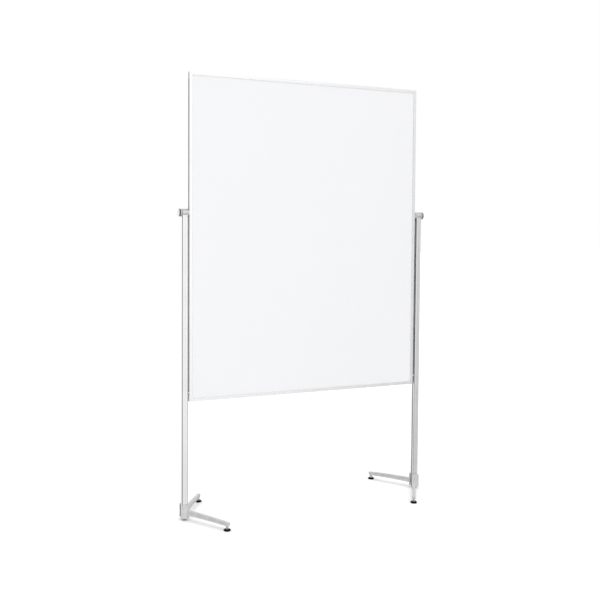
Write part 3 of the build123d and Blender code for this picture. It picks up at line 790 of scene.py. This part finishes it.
def glide(side_name, end_name):
    """Moulded pad with a stepped shoulder and a recess, and a threaded stud with a hexagonal base."""
    end_key = f"{side_name}_{end_name}"
    low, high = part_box(f"glide_pad_{end_key}")
    centre = Vector(((low.x + high.x) / 2, (low.y + high.y) / 2, 0))
    place = Matrix.Translation(centre)
    radius = (high.x - low.x) / 2
    top = high.z
    recess = 8 * MM
    recess_floor = 4 * MM
    pad_profile = rounded([
        (0, 0.5 * MM, 0), (10.5 * MM, 0.5 * MM, 0.2 * MM), (11 * MM, 0, 0.2 * MM), (13.6 * MM, 0, 1.2 * MM),
        (radius, 2.6 * MM, 1.4 * MM), (radius, 4.5 * MM, 1.2 * MM), (14.1 * MM, 6.3 * MM, 0.5 * MM),
        (13.4 * MM, 6.4 * MM, 0.4 * MM), (12.2 * MM, top, 0.8 * MM), (8.8 * MM, top, 0.4 * MM),
        (recess, top - 0.8 * MM, 0.2 * MM), (recess, recess_floor, 0), (0, recess_floor, 0),
    ], 6)
    pad = build(f"glide_foot_{end_key}", [lathe(pad_profile, 96)], place)
    finish_piece(pad, "glide_black", f"foot_{end_key}", f"glide_pad_{end_key}")

    stud_low, stud_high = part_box(f"glide_stud_{end_key}")
    flats = stud_high.y - stud_low.y
    face = flats / 2
    corner = face + 0.7 * MM
    base_low = stud_low.z
    base_top = 9.5 * MM
    base_profile = [
        (face, base_low), (corner, base_low + 0.5 * MM), (flats, base_low + 0.9 * MM),
        (flats, base_top - 1.1 * MM), (corner, base_top - 0.6 * MM), (face, base_top - 0.2 * MM),
        (5 * MM, base_top - 0.2 * MM), (4.6 * MM, base_top + 0.2 * MM), (3.4 * MM, base_top + 0.6 * MM),
    ]

    def nut(reach, height, angle):
        return min(reach, hexagon(flats, angle))

    base = lathe(base_profile, 120, nut)
    shank = thread(4 * MM, base_top - 0.4 * MM, stud_high.z, 1.25 * MM, 0.72 * MM, 56)
    stud = build(f"glide_stud_threaded_{end_key}", [base, shank], place)
    finish_piece(stud, "zinc_steel", f"foot_{end_key}", f"glide_stud_{end_key}")


# ---------------------------------------------------------------- carried-over CAD nodes

NODE_MATERIALS = {
    "front_sheet": "writing_enamel", "rear_sheet": "writing_enamel", "board_core": "honeycomb_core",
    "frame_top": "frame_level", "frame_bottom": "frame_level",
    "frame_left": "frame_upright", "frame_right": "frame_upright",
    "post_plug_left": "plug_plastic", "post_plug_right": "plug_plastic",
    "post_left": "post_anodised", "post_right": "post_anodised",
    "guide_slider_left": "slider_plastic", "guide_slider_right": "slider_plastic",
}
BEVEL_MM = {
    "post_left": 0.45, "post_right": 0.45, "post_plug_left": 0.3, "post_plug_right": 0.3,
    "guide_slider_left": 0.35, "guide_slider_right": 0.35,
    "frame_top": 0.12, "frame_bottom": 0.12, "frame_left": 0.12, "frame_right": 0.12,
}


def dress_cad_nodes():
    """Procedural materials on the CAD nodes that stay, and small rounds on their sharp edges."""
    for name, node in NODES.items():
        for slot in node.material_slots:
            slot.material = MATERIALS[NODE_MATERIALS.get(name, "zinc_steel")]
    for name, width in BEVEL_MM.items():
        node = NODES[name]
        weld = node.modifiers.new("weld", "WELD")
        weld.merge_threshold = 0.002 * MM
        edges = node.modifiers.new("edges", "BEVEL")
        edges.width = width * MM
        edges.segments = 2
        edges.limit_method = "ANGLE"
        edges.angle_limit = radians(35)
        edges.harden_normals = True


# ---------------------------------------------------------------- studio

# Brighter and darker zones of the surroundings: their strength, the direction towards them, how many
# degrees from it they reach and are full, and how much they are flattened.
BRIGHT_ZONES = (
    (0.3, (0.24, -1, 0.14), 40, 12, 1),
    (0.24, (-0.28, 0.96, 0.08), 30, 12, 1),
)
DARK_ZONES = (
    (0.5, (-0.94, -0.34, 0.12), 52, 38, 2.2),
    (0.42, (0.75, -0.66, -0.06), 32, 10, 1),
    (0.25, (0.7, 0.7, 0.1), 60, 25, 1),
)


def world_light():
    """White to the camera; for light and reflections a soft wall with brighter and darker zones."""
    world = bpy.data.worlds.new("studio")
    bpy.context.scene.world = world
    world.use_nodes = True
    tree = world.node_tree
    background = tree.nodes["Background"]
    direction = add_node(tree, "ShaderNodeTexCoord").outputs["Generated"]

    def zone(strength, toward, reach, full, flatten):
        """The strength inside a zone, fading to 0 outside it."""
        squeeze = (1, 1, flatten)
        flat = add_node(tree, "ShaderNodeMapping", Vector=direction, Scale=squeeze).outputs["Vector"]
        aimed = vector_math(tree, "NORMALIZE", flat)["Vector"]
        centre = (Vector(toward) * Vector(squeeze)).normalized()
        likeness = vector_math(tree, "DOT_PRODUCT", aimed, centre)["Value"]
        inside = spread(tree, likeness, cos(radians(reach)), cos(radians(full)), 0, 1)
        return arithmetic(tree, "MULTIPLY", inside, strength)

    height = add_node(tree, "ShaderNodeSeparateXYZ", Vector=direction).outputs["Z"]
    wall = spread(tree, height, -0.4, 0.06, 0.72, 0.88)
    for bright in BRIGHT_ZONES:
        wall = arithmetic(tree, "ADD", wall, zone(*bright))
    for dark in DARK_ZONES:
        wall = arithmetic(tree, "MULTIPLY", wall, arithmetic(tree, "SUBTRACT", 1, zone(*dark)))
    is_camera = add_node(tree, "ShaderNodeLightPath").outputs["Is Camera Ray"]
    tree.links.new(arithmetic(tree, "MAXIMUM", is_camera, wall), background.inputs["Strength"])
    background.inputs["Color"].default_value = (1, 1, 1, 1)


def sun_light(name, energy, spread_angle):
    """Very soft light from straight above; it evens out the floor and isn't seen in reflections."""
    lamp = bpy.data.lights.new(name, "SUN")
    lamp.energy = energy
    lamp.angle = radians(spread_angle)
    holder = bpy.data.objects.new(name, lamp)
    holder.visible_glossy = False
    bpy.context.scene.collection.objects.link(holder)


def floor():
    """Plain pale floor, far larger than the object."""
    reach = 40
    mesh = bpy.data.meshes.new("floor")
    corners = [(-reach, -reach, 0), (reach, -reach, 0), (reach, reach, 0), (-reach, reach, 0)]
    mesh.from_pydata(corners, [], [(0, 1, 2, 3)])
    made = bpy.data.objects.new("floor", mesh)
    bpy.context.scene.collection.objects.link(made)
    pale, tree, shader = new_material("pale_floor", Specular_IOR_Level=0.1)
    tone = blend_colour(tree, noise(tree, 1.5, 3), (0.9, 0.9, 0.9), (0.915, 0.915, 0.915))
    paint(tree, shader, tone, spread(tree, noise(tree, 40, 3), 0.3, 0.7, 0.8, 0.9))
    mesh.materials.append(pale)
    made.visible_glossy = False


CAMERA_AT = Vector((-1.6949, -3.5400, 1.3320))
CAMERA_YAW = radians(-23.23)
CAMERA_PITCH = radians(2.59)
CAMERA_ROLL = radians(0.31)
CAMERA_LENS = 48.618
CAMERA_SHIFT = (0.0426, -0.0550)


def camera():
    """Camera at the photograph's viewing angle: from the left and level with the board's middle."""
    right = Vector((cos(CAMERA_YAW), sin(CAMERA_YAW), 0))
    level_back = Vector((sin(CAMERA_YAW), -cos(CAMERA_YAW), 0))
    back = level_back * cos(CAMERA_PITCH) + Vector((0, 0, sin(CAMERA_PITCH)))
    up = back.cross(right)
    rolled_right = right * cos(CAMERA_ROLL) + up * sin(CAMERA_ROLL)
    rolled_up = up * cos(CAMERA_ROLL) - right * sin(CAMERA_ROLL)
    data = bpy.data.cameras.new("camera")
    data.lens = CAMERA_LENS
    data.shift_x, data.shift_y = CAMERA_SHIFT
    data.clip_end = 100
    made = bpy.data.objects.new("camera", data)
    axes = Matrix((rolled_right, rolled_up, back)).transposed()
    made.matrix_world = Matrix.Translation(CAMERA_AT) @ axes.to_4x4()
    bpy.context.scene.collection.objects.link(made)
    bpy.context.scene.camera = made


# ---------------------------------------------------------------- assembly

dress_cad_nodes()
legs()
for side_name, side in SIDES.items():
    clamp_head(side_name, side)
    clamp_stub(side_name, side)
    knob(side_name, side)
    friction_washer(side_name, side)
    leg_bolts(side_name, side)
    for end_name in ENDS:
        glide(side_name, end_name)

world_light()
sun_light("overhead_sky", 1.6, 70)
floor()
camera()
bpy.context.scene.view_settings.view_transform = "Standard"
